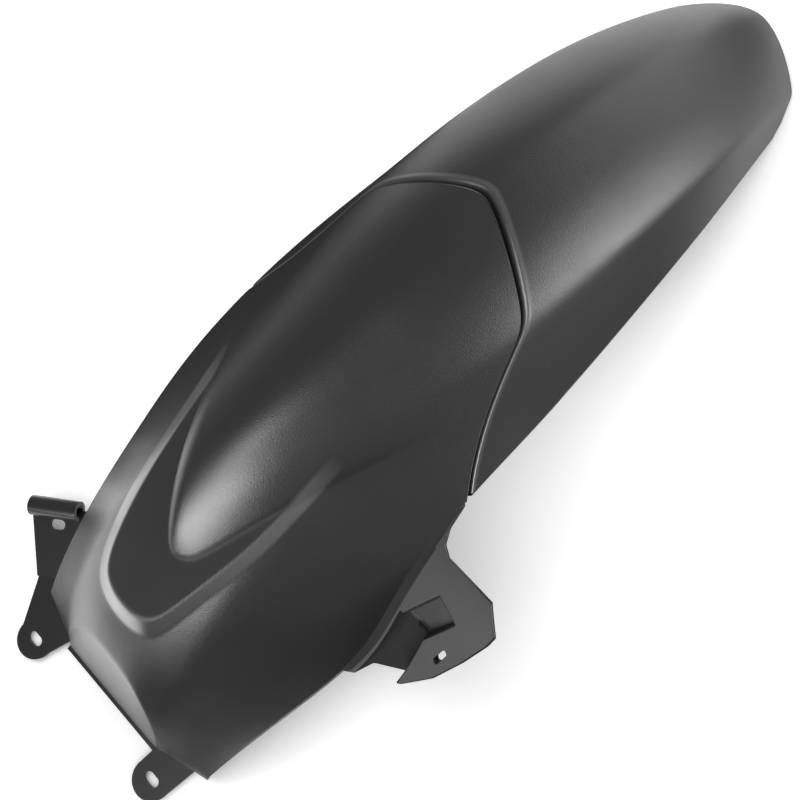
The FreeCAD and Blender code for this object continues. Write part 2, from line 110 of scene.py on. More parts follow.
def in_terrace(s, y):
    """Distance inside the V-shaped terrace: the least of those to its left, right and front edges, with rounded
    corners. The edges spread backwards, and the right one only until it is straight."""
    behind = s - TERRACE_FRONT
    left = TERRACE_LEFT + TERRACE_LEFT_SPREAD * behind - y
    right_edge = lesser(TERRACE_RIGHT + TERRACE_RIGHT_SPREAD * behind, TERRACE_RIGHT_MOST, 6.0)
    sides = lesser(left, TERRACE_RIGHT_STEEP * (right_edge + y), 8.0)
    return lesser(sides, TERRACE_FRONT_STEEP * behind, 12.0)


BULGE_FRONT, BULGE_CORNER = -222.0, -208.0
BULGE_LEFT, BULGE_RIGHT = 3.0, 25.0
BULGE_LEFT_SPREAD, BULGE_RIGHT_SPREAD = 0.65, 0.28
BULGE_LEFT_STEEP, BULGE_RIGHT_STEEP, BULGE_FRONT_STEEP = 2.5, 0.96, 1.2
BULGE_EDGE, BULGE_EDGE_HEIGHT = 3.0, 1.2
BULGE_RUN, BULGE_HEIGHT = 45.0, 9.0
BULGE_FADE_START, BULGE_FADE_RUN = -165.0, 105.0


def in_bulge(s, y):
    """Distance inside the bulge's blunt tongue: the least of those to its left, right and front edges, with rounded
    corners."""
    behind = s - BULGE_CORNER
    left = BULGE_LEFT_STEEP * (BULGE_LEFT + BULGE_LEFT_SPREAD * behind - y)
    right = BULGE_RIGHT_STEEP * (y + BULGE_RIGHT + BULGE_RIGHT_SPREAD * behind)
    return lesser(lesser(left, right, 10.0), BULGE_FRONT_STEEP * (s - BULGE_FRONT), 9.0)


def relief(s, y):
    """Terrace plus bulge. The terrace is a bevel up to a floor that sinks inwards as a decaying exponential, and it
    thins out backwards. The bulge is a small chamfer, then a parabola's rise, and it fades into the crown."""
    inside, bulge = in_terrace(s, y), in_bulge(s, y)
    bevel = BEVEL_HEIGHT * chamfer(inside / BEVEL_WIDTH, 0.1)
    sunk = FLOOR_SINK * (1.0 - np.exp(-np.maximum(inside - BEVEL_WIDTH, 0.0) / FLOOR_RUN))
    thinner = (1.0 - np.clip((s - TERRACE_FRONT) / (TERRACE_END - TERRACE_FRONT), 0.0, 1.0)) ** 1.5
    edge = BULGE_EDGE_HEIGHT * chamfer(bulge / BULGE_EDGE, 0.2)
    rise = BULGE_HEIGHT * (1.0 - (1.0 - np.clip(bulge / BULGE_RUN, 0.0, 1.0)) ** 2)
    fade = 1.0 - smooth((s - BULGE_FADE_START) / BULGE_FADE_RUN)
    return thinner * (bevel - sunk) + fade * (edge + rise)


MASK_EDGE, MASK_END = 3.0, 30.0


def relief_masks(s, y):
    """Shares of the terrace's bevel and of its floor: 1 on each, smooth steps at their edges, and a straight fall to
    0 at the terrace's rear end. The bevel's share carries a painted highlight, and the floor's a painted shade."""
    inside, bulge = in_terrace(s, y), in_bulge(s, y)
    ends = np.clip((TERRACE_END - s) / MASK_END, 0.0, 1.0)
    bevel = smooth(inside / MASK_EDGE + 0.5) * smooth((BEVEL_WIDTH - inside) / MASK_EDGE + 0.5)
    floor = smooth((inside - BEVEL_WIDTH) / MASK_EDGE + 0.5) * (1.0 - smooth(bulge / 2.5))
    return ends * bevel, ends * floor


FACET_LEAN, FACET_CUT = math.radians(30.2), 13.0  # how far the facet leans back, and its depth under the nose
FACET_NORMAL = np.array([-math.cos(FACET_LEAN), 0.0, math.sin(FACET_LEAN)])
(nose_x,), (nose_z,), _ = crown(np.array([NOSE]))
FACET_OFFSET = FACET_NORMAL[0] * nose_x + FACET_NORMAL[2] * nose_z - FACET_CUT

SHOULDER = 0.5  # share of the width at which the crown turns into the skirt
SHOULDER_SPREAD = np.linspace(-0.1, 0.1, 9)
SHOULDER_WEIGHTS = np.array([math.comb(8, k) for k in range(9)]) / 2.0 ** 8
RIDGE, RIDGE_START, RIDGE_RUN, RIDGE_ROUND = 0.35, 10.0, 90.0, 0.14


def section(s, q):
    """Place across and fall at share q of the width: a parabola to the shoulder, mixed behind the seam with a
    rounded roof ridge, then a straight skirt."""
    across = np.abs(q)
    half, drop = along_stations(SHOULDER_HALF, s), along_stations(SHOULDER_DROP, s)
    skirt, depth = along_stations(SKIRT_HALF, s), along_stations(SKIRT_DEPTH, s)
    top, side = across / SHOULDER, (across - SHOULDER) / (1.0 - SHOULDER)
    ridge = RIDGE * smooth((s - RIDGE_START) / RIDGE_RUN)
    roof = (np.hypot(top, RIDGE_ROUND) - RIDGE_ROUND) / (math.hypot(1.0, RIDGE_ROUND) - RIDGE_ROUND)
    arch = (1.0 - ridge) * top ** 2 + ridge * roof
    y = np.where(across <= SHOULDER, half * top, half + (skirt - half) * side)
    return np.copysign(y, q), np.where(across <= SHOULDER, drop * arch, drop + (depth - drop) * side)


def outer(s, q):
    """Outer surface at arc length s and share q: the section, rounded at the shoulder by a bell-weighted mean over
    nearby shares, less the relief, bent along the crown and cut back to the flat facet in front."""
    y, fall = np.zeros_like(s), np.zeros_like(s)
    for shift, weight in zip(SHOULDER_SPREAD, SHOULDER_WEIGHTS):
        near_y, near_fall = section(s, q + shift)
        y, fall = y + weight * near_y, fall + weight * near_fall
    fall = fall - relief(s, y)
    x, z, slope = crown(s)
    points = np.stack([x + fall * np.sin(slope), y, z - fall * np.cos(slope)], axis=-1)
    proud = np.maximum(points @ FACET_NORMAL - FACET_OFFSET, 0.0)
    return points - proud[..., None] * FACET_NORMAL


def inset(s, q, depth):
    """Point at a depth under the outer surface, along its normal: the cross product of the steps along and across."""
    step_s, step_q = 0.5, 0.005
    along = outer(s + step_s, q) - outer(s - step_s, q)
    across = outer(s, q + step_q) - outer(s, q - step_q)
    normal = np.cross(along, across)
    normal /= np.linalg.norm(normal, axis=-1, keepdims=True)
    return outer(s, q) - normal * np.asarray(depth)[..., None]


SEAM_APEX, SEAM_RAKE, SEAM_SIDE_RAKE = 22.0, 56.0, 192.0
APEX_ROUND, CORNER_ROUND = 0.05, 0.06


def seam(q):
    """Rear edge of the shell: an arrow with a rounded apex on the centre line, straight to each shoulder, and a
    steeper straight line from there to the skirt's edge."""
    across = np.abs(q)
    top = np.hypot(across, APEX_ROUND) - APEX_ROUND
    side = 0.5 * (across - SHOULDER + np.hypot(across - SHOULDER, CORNER_ROUND))
    return SEAM_APEX - SEAM_RAKE * top - (SEAM_SIDE_RAKE - SEAM_RAKE) * side


LIP_REACH, LIP_DROP = 5.0, 6.0


def lip(q):
    """Front edge of the shell: a constant reach past the nose, plus a drop in the middle that ends in smooth steps."""
    return NOSE - LIP_REACH - LIP_DROP * (1.0 - smooth((np.abs(q) - 0.25) / 0.5))


def piece_from(name, vertices, faces, material):
    """Mesh object with smooth shading, its millimetres turned into metres in the part's frame."""
    mesh = bpy.data.meshes.new(name)
    mesh.from_pydata((np.asarray(vertices) * 0.001).tolist(), [], faces)
    mesh.polygons.foreach_set("use_smooth", np.ones(len(mesh.polygons), dtype=bool))
    mesh.materials.append(material)
    mesh.update()
    piece = bpy.data.objects.new(name, mesh)
    bpy.context.scene.collection.objects.link(piece)
    return piece


def moulded_sheet(top, under, bulb):
    """Closed sheet: two grids joined by a rim. Each rim point runs half an ellipse from the upper edge to the lower:
    the middle, plus the cosine of the turn times half the wall, plus its sine times the bulb, outwards."""
    rows, columns = top.shape[:2]
    count = rows * columns
    number = np.arange(count).reshape(rows, columns)
    loop = np.r_[number[0, :-1], number[:-1, -1], number[-1, :0:-1], number[:0:-1, 0]]
    inward = np.r_[number[1, :-1], number[:-1, -2], number[-2, :0:-1], number[:0:-1, 1]]
    upper, lower = top.reshape(-1, 3), under.reshape(-1, 3)
    out = upper[loop] - upper[inward]
    out /= np.linalg.norm(out, axis=1, keepdims=True)
    middle, half = 0.5 * (upper[loop] + lower[loop]), 0.5 * (upper[loop] - lower[loop])
    turns = np.linspace(0.0, math.pi, 9)[1:-1]
    rings = [middle + math.cos(turn) * half + math.sin(turn) * bulb * out for turn in turns]
    vertices = np.concatenate([upper, lower, *rings])
    quads = np.stack([number[:-1, :-1], number[1:, :-1], number[1:, 1:], number[:-1, 1:]], axis=-1).reshape(-1, 4)
    faces = quads.tolist() + (quads[:, ::-1] + count).tolist()
    ring_numbers = [loop] + [2 * count + k * len(loop) + np.arange(len(loop)) for k in range(len(rings))]
    ring_numbers.append(loop + count)
    for first, second in zip(ring_numbers, ring_numbers[1:]):
        faces += np.stack([first, second, np.roll(second, -1), np.roll(first, -1)], axis=-1).tolist()
    return vertices, faces


def mark(piece, name, shares):
    """Float attribute with the given shares on the outer skin's points, which come first, and 0 on all others."""
    values = np.zeros(len(piece.data.vertices))
    values[:shares.size] = shares.ravel()
    piece.data.attributes.new(name, "FLOAT", "POINT").data.foreach_set("value", values)


# Moulded grain: fine pits, about 0.7 mm apart, in tone and relief, and wide clouds in the sheen.
grain_group = bpy.data.node_groups.new("moulded_grain", "ShaderNodeTree")
grain_group.interface.new_socket("Vector", in_out="INPUT", socket_type="NodeSocketVector")
grain_group.interface.new_socket("Colour", in_out="OUTPUT", socket_type="NodeSocketColor")
grain_group.interface.new_socket("Roughness", in_out="OUTPUT", socket_type="NodeSocketFloat")
grain_group.interface.new_socket("Normal", in_out="OUTPUT", socket_type="NodeSocketVector")
grain_nodes, grain_links = grain_group.nodes, grain_group.links
grain_in, grain_out = grain_nodes.new("NodeGroupInput"), grain_nodes.new("NodeGroupOutput")
pits = grain_nodes.new("ShaderNodeTexNoise")
pits.inputs["Scale"].default_value = 1400.0
pits.inputs["Detail"].default_value = 3.0
clouds = grain_nodes.new("ShaderNodeTexNoise")
clouds.inputs["Scale"].default_value = 35.0
clouds.inputs["Detail"].default_value = 4.0
tone = grain_nodes.new("ShaderNodeMix")
tone.data_type = "RGBA"
tone.inputs["A"].default_value = (0.015, 0.015, 0.016, 1.0)
tone.inputs["B"].default_value = (0.021, 0.021, 0.022, 1.0)
sheen = grain_nodes.new("ShaderNodeMapRange")
sheen.inputs["To Min"].default_value = 0.34
sheen.inputs["To Max"].default_value = 0.42
pit_bump = grain_nodes.new("ShaderNodeBump")
pit_bump.inputs["Strength"].default_value = 0.45
pit_bump.inputs["Distance"].default_value = 0.0003
grain_links.new(grain_in.outputs["Vector"], pits.inputs["Vector"])
grain_links.new(grain_in.outputs["Vector"], clouds.inputs["Vector"])
grain_links.new(pits.outputs["Fac"], tone.inputs["Factor"])
grain_links.new(clouds.outputs["Fac"], sheen.inputs["Value"])
grain_links.new(pits.outputs["Fac"], pit_bump.inputs["Height"])
grain_links.new(tone.outputs["Result"], grain_out.inputs["Colour"])
grain_links.new(sheen.outputs["Result"], grain_out.inputs["Roughness"])
grain_links.new(pit_bump.outputs["Normal"], grain_out.inputs["Normal"])

# Painted highlight: a paler colour on the bevel's share, plus a coat for more polish.
BEVEL_PAINTED_HIGHLIGHT, BEVEL_COAT = (0.09, 0.09, 0.092, 1.0), 0.4
# Painted shade: a darker colour, with more roughness, on the shade share.
PAINTED_SHADE_COLOUR, PAINTED_SHADE_DULLING = (0.004, 0.004, 0.0042, 1.0), 0.58


def black_plastic(name):
    """Satin black moulded ABS: grain all over, a painted highlight on the bevel (a paler colour, and a coat that makes
    it more polished) and a painted shade (a darker colour, and more roughness), each mixed in by the share that the
    mesh's attribute gives."""
    material = bpy.data.materials.new(name)
    material.use_nodes = True
    nodes, links = material.node_tree.nodes, material.node_tree.links
    shader = nodes["Principled BSDF"]
    shader.inputs["Specular IOR Level"].default_value = 0.4
    shader.inputs["Coat Roughness"].default_value = 0.32
    coordinates = nodes.new("ShaderNodeTexCoord")
    grain = nodes.new("ShaderNodeGroup")
    grain.node_tree = grain_group
    bevel, painted_shade = nodes.new("ShaderNodeAttribute"), nodes.new("ShaderNodeAttribute")
    bevel.attribute_name, painted_shade.attribute_name = "bevel", "painted_shade"
    highlight_mix, shade_mix = nodes.new("ShaderNodeMix"), nodes.new("ShaderNodeMix")
    highlight_mix.data_type = shade_mix.data_type = "RGBA"
    highlight_mix.inputs["B"].default_value = BEVEL_PAINTED_HIGHLIGHT
    shade_mix.inputs["B"].default_value = PAINTED_SHADE_COLOUR
    duller, polished = nodes.new("ShaderNodeMath"), nodes.new("ShaderNodeMath")
    duller.operation, polished.operation = "MULTIPLY_ADD", "MULTIPLY"
    duller.inputs[1].default_value = PAINTED_SHADE_DULLING
    polished.inputs[1].default_value = BEVEL_COAT
    links.new(coordinates.outputs["Object"], grain.inputs["Vector"])
    links.new(bevel.outputs["Fac"], highlight_mix.inputs["Factor"])
    links.new(grain.outputs["Colour"], highlight_mix.inputs["A"])
    links.new(painted_shade.outputs["Fac"], shade_mix.inputs["Factor"])
    links.new(highlight_mix.outputs["Result"], shade_mix.inputs["A"])
    links.new(shade_mix.outputs["Result"], shader.inputs["Base Color"])
    links.new(painted_shade.outputs["Fac"], duller.inputs[0])
    links.new(grain.outputs["Roughness"], duller.inputs[2])
    links.new(duller.outputs["Value"], shader.inputs["Roughness"])
    links.new(bevel.outputs["Fac"], polished.inputs[0])
    links.new(polished.outputs["Value"], shader.inputs["Coat Weight"])
    links.new(grain.outputs["Normal"], shader.inputs["Normal"])
    return material


# The grid's lines lie closest over the terrace, and in close pairs along the edges.
shell_plastic = black_plastic("shell_plastic")
shell_rows = np.r_[0.0, np.linspace(0.0015, 0.26, 28), np.linspace(0.263, 0.72, 144),
                   np.linspace(0.727, 0.9985, 42), 1.0]
half_columns = np.r_[np.linspace(0.01, SHOULDER, 50), np.linspace(0.506, 0.66, 26),
                     np.linspace(0.68, 0.992, 15), 1.0]
rows, columns = np.meshgrid(shell_rows, np.r_[-half_columns[::-1], 0.0, half_columns], indexing="ij")
place = lip(columns) + rows * (seam(columns) - lip(columns))
skin = outer(place, columns)
lining = inset(place, columns, np.full_like(place, WALL))
shell = piece_from("guard_shell", *moulded_sheet(skin + SEAM_ORIGIN, lining + SEAM_ORIGIN, RIM), shell_plastic)
bevel_highlight_share, painted_shade_share = relief_masks(place, skin[..., 1])
# Painted highlight along the terrace's bevel.
mark(shell, "bevel", bevel_highlight_share)
# Painted shade over the terrace's sunken floor.
mark(shell, "painted_shade", painted_shade_share)
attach(shell, "root")
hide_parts("mudguard_shell")


# Mount arm. Moulded in one with the shell, it grows out of the skirt's lower edge on the chain side: a flange with
# a pressed-in pocket, which drops by a ramp into a deep part that is open at its front end, and a through slot with
# a boss below for one bolt. Its places are millimetres along the skirt's edge and out from it.

ARM_START, ARM_END = -132.0, -230.0  # arc lengths of the edge between which the flange's direction is taken
ARM_THICKNESS, ARM_RIM = 2.6, 0.6
ARM_OUTLINE = np.array([(-22.0, 0.3), (-8.0, 2.2), (0.2, 5.8), (4.2, 12.0), (4.6, 33.0), (5.0, 44.2), (17.8, 56.5),
                        (24.0, 55.6), (42.0, 49.5), (64.5, 40.0), (83.2, 27.5), (99.2, 5.0), (103.0, 0.3)])
BEND_WIDTH, BEND_SHARE = 2.4, 0.2  # the bend at the root, and the share of the grid's columns that it takes
ROOT_SHARE, ROOT_DEPTH = -0.955, 1.2  # where the bend starts inside the skirt
RAMP = np.array([(50.0, 6.5), (23.0, 19.5), (29.0, 35.0), (50.0, 24.5)])
RAMP_DEPTH, RAMP_FALL, RAMP_START, RAMP_RUN, RAMP_WALL = 3.0, 6.0, 24.0, 24.0, 2.0
DEEP = np.array([(48.5, 5.5), (120.0, 5.5), (120.0, 25.0), (84.2, 25.0), (50.0, 24.0)])
DEEP_DEPTH, DEEP_WALL = 18.0, 2.2
SLOT_ENDS, SLOT_RADIUS = np.array([(54.4, 36.6), (47.0, 38.4)]), 1.7
SLOT_SNAP = 0.4  # grid points this near to the slot's edge are moved onto it
BOSS_DEPTH, BOSS_RADIUS, BOSS_WALL = 4.0, 5.5, 1.5

edge_places = np.linspace(-95.0, -330.0, 471)
edge_line = outer(edge_places, np.full_like(edge_places, -1.0))
edge_steps = np.linalg.norm(np.diff(edge_line, axis=0), axis=1)
edge_travel = np.r_[0.0, np.cumsum(edge_steps)]
edge_travel -= np.interp(-ARM_START, -edge_places, edge_travel)
ARM_OUT = np.array([0.0, -1.0, 0.0])
arm_first, arm_last = outer(np.array([ARM_START, ARM_END]), np.array([-1.0, -1.0]))
arm_run = arm_last - arm_first
arm_along = np.array([arm_run[0], 0.0, arm_run[2]]) / math.hypot(arm_run[0], arm_run[2])
ARM_UP = np.cross(arm_along, ARM_OUT)


def inside_by(points, outline):
    """Distance from each point to the nearest side of a closed outline, positive where a line drawn to one side
    crosses the outline an odd number of times."""
    distance = np.full(points.shape[:-1], 1e9)
    inside = np.zeros(points.shape[:-1], dtype=bool)
    for a, b in zip(outline, np.roll(outline, -1, axis=0)):
        run = b - a
        share = np.clip(((points - a) @ run) / (run @ run), 0.0, 1.0)
        distance = np.minimum(distance, np.linalg.norm(points - a - share[..., None] * run, axis=-1))
        crosses = (a[1] > points[..., 1]) != (b[1] > points[..., 1])
        height = np.where(b[1] == a[1], 1e-9, b[1] - a[1])
        inside ^= crosses & (points[..., 0] < a[0] + (points[..., 1] - a[1]) * run[0] / height)
    return np.where(inside, distance, -distance)


def arm_reach(along):
    """How far the flange reaches out: straight lines between the outline's points."""
    return np.interp(along, ARM_OUTLINE[:, 0], ARM_OUTLINE[:, 1])


def arm_bend(along):
    """Width of the bend at the flange's root, or six tenths of the flange where that is less."""
    return np.minimum(BEND_WIDTH, 0.6 * arm_reach(along))


def arm_surface(along, out, share):
    """Flange surface: a bend out of the skirt, as a quadratic curve from inside the skirt by its edge to the foot,
    then flat, lowered by the greater of the ramp's depth and the deep part's."""
    s = np.interp(along, edge_travel, edge_places)
    edge = outer(s, np.full_like(s, -1.0))
    root = inset(s, np.full_like(s, ROOT_SHARE), np.full_like(s, ROOT_DEPTH))
    t = np.clip(share / BEND_SHARE, 0.0, 1.0)[..., None]
    foot = edge + arm_bend(along)[..., None] * ARM_OUT
    curve = (1.0 - t) ** 2 * root + 2.0 * t * (1.0 - t) * edge + t ** 2 * foot
    points = np.where(share[..., None] < BEND_SHARE, curve, edge + out[..., None] * ARM_OUT)
    spot = np.stack([along, out], axis=-1)
    ramp_depth = RAMP_DEPTH + RAMP_FALL * np.clip((along - RAMP_START) / RAMP_RUN, 0.0, 1.0)
    ramp = ramp_depth * smooth(inside_by(spot, RAMP) / RAMP_WALL + 0.3)
    deep = DEEP_DEPTH * smooth(inside_by(spot, DEEP) / DEEP_WALL + 0.3)
    depth = np.where(share < BEND_SHARE, 0.0, np.maximum(ramp, deep))
    return points - depth[..., None] * ARM_UP


def through_slot(faces, count, open_points):
    """Quads without those of either skin whose corners are all open, plus a wall between the skins along each edge
    that only one of the removed quads had."""
    faces = np.asarray(faces)
    opened = open_points[faces % count].all(axis=1) & (faces.max(axis=1) < 2 * count)
    holes = faces[opened & (faces.max(axis=1) < count)]
    a, b = holes.ravel(), np.roll(holes, -1, axis=1).ravel()
    rim = ~np.isin(a * count + b, b * count + a)
    walls = np.stack([a[rim], b[rim], b[rim] + count, a[rim] + count], axis=1)
    return np.concatenate([faces[~opened], walls]).tolist()


stations = np.unique(np.r_[np.linspace(ARM_OUTLINE[0, 0], ARM_OUTLINE[-1, 0], 200), np.linspace(4.0, 6.0, 20)])
arm_shares = np.r_[np.linspace(0.0, BEND_SHARE, 10), np.linspace(BEND_SHARE + 0.01, 1.0, 96)]
along, share = np.meshgrid(stations, arm_shares, indexing="ij")
flat_share = np.clip((share - BEND_SHARE) / (1.0 - BEND_SHARE), 0.0, 1.0)
out = arm_bend(along) + flat_share * (arm_reach(along) - arm_bend(along))
spots = np.stack([along, out], axis=-1)
slot_run = SLOT_ENDS[1] - SLOT_ENDS[0]
slot_share = np.clip(((spots - SLOT_ENDS[0]) @ slot_run) / (slot_run @ slot_run), 0.0, 1.0)
away = spots - SLOT_ENDS[0] - slot_share[..., None] * slot_run
apart = np.linalg.norm(away, axis=-1)
on_slot = (np.abs(apart - SLOT_RADIUS) < SLOT_SNAP) & (share > BEND_SHARE)
snap = away * ((SLOT_RADIUS - apart) / np.maximum(apart, 1e-6))[..., None]
spots = np.where(on_slot[..., None], spots + snap, spots)
in_slot = ((apart < SLOT_RADIUS + SLOT_SNAP) & (share > BEND_SHARE))[::-1].ravel()
flange = arm_surface(spots[..., 0], spots[..., 1], share)[::-1] + SEAM_ORIGIN
thickness = ARM_THICKNESS + BOSS_DEPTH * smooth((BOSS_RADIUS - apart) / BOSS_WALL)[::-1, :, None]
arm_vertices, arm_faces = moulded_sheet(flange, flange - thickness * ARM_UP, ARM_RIM)
arm = piece_from("mount_arm", arm_vertices, through_slot(arm_faces, along.size, in_slot), shell_plastic)
# Painted shade on the arm: full in the pocket's deep part and along the bend at the root, half over the rest.
arm_painted_shade = np.maximum(np.clip(inside_by(spots, DEEP) + 0.5, 0.5, 1.0), share < BEND_SHARE + 0.02)
mark(arm, "painted_shade", arm_painted_shade[::-1])
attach(arm, "root")
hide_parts("mudguard_shell")


# Rear extender. The second moulding, of the same ABS and wall. A step lets its tongue lap under the shell, where it
# is bonded, so a narrow shadow gap is left along the seam. Its seam edge gets a painted highlight: a paler colour, and
# a coat for more polish.

GAP, STEP, JOGGLE, TONGUE = 1.6, 3.9, 4.0, 20.0
TAIL_TRIM, TAIL_CURVE, TAIL_CORNER, TAIL_CORNER_SHARE = 0.6, 38.0, 8.0, 0.12
SEAM_HIGHLIGHT_SHARE, SEAM_EDGE_START, SEAM_EDGE_END = 0.5, 1.5, 7.0
BODY_ROWS = 150


def tail(q):
    """Rear edge of the extender: drawn back as the square of the share up to the shoulder, then in proportion, with
    a smooth step more at the last corner."""
    across = np.abs(q)
    middle, side = np.minimum(across, SHOULDER), np.maximum(across - SHOULDER, 0.0)
    corner = smooth((across - (1.0 - TAIL_CORNER_SHARE)) / TAIL_CORNER_SHARE)
    return TAIL_ARC - TAIL_TRIM - TAIL_CURVE * middle ** 2 - TAIL_CURVE * side - TAIL_CORNER * corner


def edged(count, edge):
    """Shares from 0 to 1, evenly spaced, with one close pair of lines at each end."""
    return np.r_[0.0, np.linspace(edge, 1.0 - edge, count), 1.0]


extender_plastic = black_plastic("extender_plastic")
shifts = np.r_[np.linspace(-TONGUE, -1.0, 8), np.linspace(0.0, 6.0, 13), 7.5]  # rows of the tongue and the step
shares = np.r_[np.zeros(len(shifts)), edged(BODY_ROWS - 1, 0.003)[1:]]
rows, columns = np.meshgrid(np.arange(len(shares)), 2.0 * edged(121, 0.004) - 1.0, indexing="ij")
shift = np.r_[shifts, np.full(BODY_ROWS, shifts[-1])][rows]
start = seam(columns) + GAP + shift
place = start + shares[rows] * (tail(columns) - start)
depth = STEP * (1.0 - smooth(shift / JOGGLE))
skin, lining = inset(place, columns, depth), inset(place, columns, depth + WALL)
extender = piece_from("guard_extender", *moulded_sheet(skin + SEAM_ORIGIN, lining + SEAM_ORIGIN, RIM),
                      extender_plastic)
# Painted highlight: the seam edge's share takes the paler colour and the coat.
seam_highlight = np.clip(shift - SEAM_EDGE_START, 0.0, 1.0) * np.clip(SEAM_EDGE_END - shift, 0.0, 1.0)
mark(extender, "bevel", SEAM_HIGHLIGHT_SHARE * seam_highlight)
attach(extender, "root")
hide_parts("rear_extender")


# Bonding strip. Foam tape, matte black and die-cut to the tongue's shape, pressed between the tongue and the shell.
# It lies hidden behind the seam.

tape = bpy.data.materials.new("bonding_tape")
tape.use_nodes = True
tape_shader = tape.node_tree.nodes["Principled BSDF"]
tape_shader.inputs["Base Color"].default_value = (0.03, 0.03, 0.03, 1.0)
tape_shader.inputs["Roughness"].default_value = 0.9
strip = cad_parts["bonding_strip"]
strip.data.materials.clear()
strip.data.materials.append(tape)


# Front bracket. Pressed from 2.5 mm steel sheet and painted semi-gloss black: a strap under the lip, two slotted
# lugs and a plate with a rolled hook for the brake hose. Sheared edges are broken to a small radius.

EDGE_RADIUS, EDGE_ANGLE = 0.0006, math.radians(35.0)  # metres; corners sharper than the angle are broken
bracket_paint = bpy.data.materials.new("bracket_paint")
bracket_paint.use_nodes = True
paint_nodes, paint_links = bracket_paint.node_tree.nodes, bracket_paint.node_tree.links
paint_shader = paint_nodes["Principled BSDF"]
paint_shader.inputs["Base Color"].default_value = (0.012, 0.012, 0.013, 1.0)
paint_shader.inputs["Roughness"].default_value = 0.28
paint_place = paint_nodes.new("ShaderNodeTexCoord")
peel = paint_nodes.new("ShaderNodeTexNoise")
peel.inputs["Scale"].default_value = 350.0
peel.inputs["Detail"].default_value = 2.0
peel_bump = paint_nodes.new("ShaderNodeBump")
peel_bump.inputs["Strength"].default_value = 0.12
peel_bump.inputs["Distance"].default_value = 0.0004
paint_links.new(paint_place.outputs["Object"], peel.inputs["Vector"])
paint_links.new(peel.outputs["Fac"], peel_bump.inputs["Height"])
paint_links.new(peel_bump.outputs["Normal"], paint_shader.inputs["Normal"])
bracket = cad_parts["front_bracket"]
bracket.data.materials.clear()
bracket.data.materials.append(bracket_paint)
edges = bracket.modifiers.new("broken_edges", "BEVEL")
edges.width, edges.segments = EDGE_RADIUS, 3
edges.limit_method, edges.angle_limit = "ANGLE", EDGE_ANGLE
edges.harden_normals = False


# Floor. A wide sheet of white board under the part. The rays that see it get it lifted to clean white, but the lift
# falls away close to the part as a painted contact shadow, and it keeps the part's own shadow. Lengths are in metres
# from here on.

FLOOR_HALF = 6.0
FLOOR_LIFT, FLOOR_NEAR, FLOOR_DARKENING = 0.62, 0.15, 2.0
floor_paint = bpy.data.materials.new("floor_paint")
floor_paint.use_nodes = True
floor_nodes, floor_links = floor_paint.node_tree.nodes, floor_paint.node_tree.links
floor_shader = floor_nodes["Principled BSDF"]
floor_shader.inputs["Base Color"].default_value = (0.9, 0.9, 0.9, 1.0)
floor_shader.inputs["Roughness"].default_value = 0.9
floor_shader.inputs["Emission Color"].default_value = (1.0, 1.0, 1.0, 1.0)
floor_rays = floor_nodes.new("ShaderNodeLightPath")
floor_near = floor_nodes.new("ShaderNodeAmbientOcclusion")
floor_near.inputs["Distance"].default_value = FLOOR_NEAR


def floor_math(operation, first, second):
    """Result of one operation on two of the floor material's sockets, or on a socket and a plain number."""
    node = floor_nodes.new("ShaderNodeMath")
    node.operation = operation
    floor_links.new(first, node.inputs[0])
    if isinstance(second, float):
        node.inputs[1].default_value = second
    else:
        floor_links.new(second, node.inputs[1])
    return node.outputs["Value"]


def flat_sheet(name, corners, material):
    """One flat face through the corners, in metres."""
    mesh = bpy.data.meshes.new(name)
    mesh.from_pydata(corners, [], [tuple(range(len(corners)))])
    mesh.materials.append(material)
    sheet = bpy.data.objects.new(name, mesh)
    bpy.context.scene.collection.objects.link(sheet)
    return sheet


floor_seen = floor_math("MAXIMUM", floor_rays.outputs["Is Camera Ray"], floor_rays.outputs["Is Glossy Ray"])
floor_seen = floor_math("MAXIMUM", floor_seen, floor_rays.outputs["Is Transmission Ray"])
floor_lift = floor_math("MULTIPLY", floor_seen, FLOOR_LIFT)
# Painted contact shadow: the lift shrinks with the ambient occlusion near the part.
floor_open = floor_math("POWER", floor_near.outputs["AO"], FLOOR_DARKENING)
floor_links.new(floor_math("MULTIPLY", floor_lift, floor_open), floor_shader.inputs["Emission Strength"])
floor = flat_sheet("floor", [(-FLOOR_HALF, -FLOOR_HALF, 0.0), (FLOOR_HALF, -FLOOR_HALF, 0.0),
                             (FLOOR_HALF, FLOOR_HALF, 0.0), (-FLOOR_HALF, FLOOR_HALF, 0.0)], floor_paint)


# Cards. Matte black sheets that paint shade into the part's reflections: three laid on the floor around the part and
# one stood up in front of it. Only the part's polish sees them, and they keep its sides dark with painted shade.

CARD_LEVEL = 0.0004
CARDS = {"right_card": [(-1.8, -1.2), (0.5, -1.2), (0.5, -0.1), (-0.29, -0.1), (-0.33, 0.0), (-1.8, 0.05)],
         "rear_card": [(0.34, -0.1), (0.62, -0.1), (0.62, 0.06), (0.34, 0.06)],
         "left_card": [(-0.2, 0.12), (0.16, 0.12), (0.16, 0.7), (-0.2, 0.7)]}
shade_card_black = bpy.data.materials.new("shade_card_black")
shade_card_black.use_nodes = True
card_shader = shade_card_black.node_tree.nodes["Principled BSDF"]
card_shader.inputs["Base Color"].default_value = (0.01, 0.01, 0.01, 1.0)
card_shader.inputs["Roughness"].default_value = 1.0
card_shader.inputs["Specular IOR Level"].default_value = 0.0
card_corners = {name: [(x, y, CARD_LEVEL) for x, y in outline] for name, outline in CARDS.items()}
card_corners["front_card"] = [(-0.85, -0.8, 0.0), (-0.85, 0.03, 0.0), (-0.85, 0.03, 0.19), (-0.85, -0.8, 0.19)]
for card_name, corners in card_corners.items():
    card = flat_sheet(card_name, corners, shade_card_black)
    # Seen only in the part's reflections, where they stand in for shade.
    card.visible_camera = card.visible_diffuse = card.visible_shadow = False


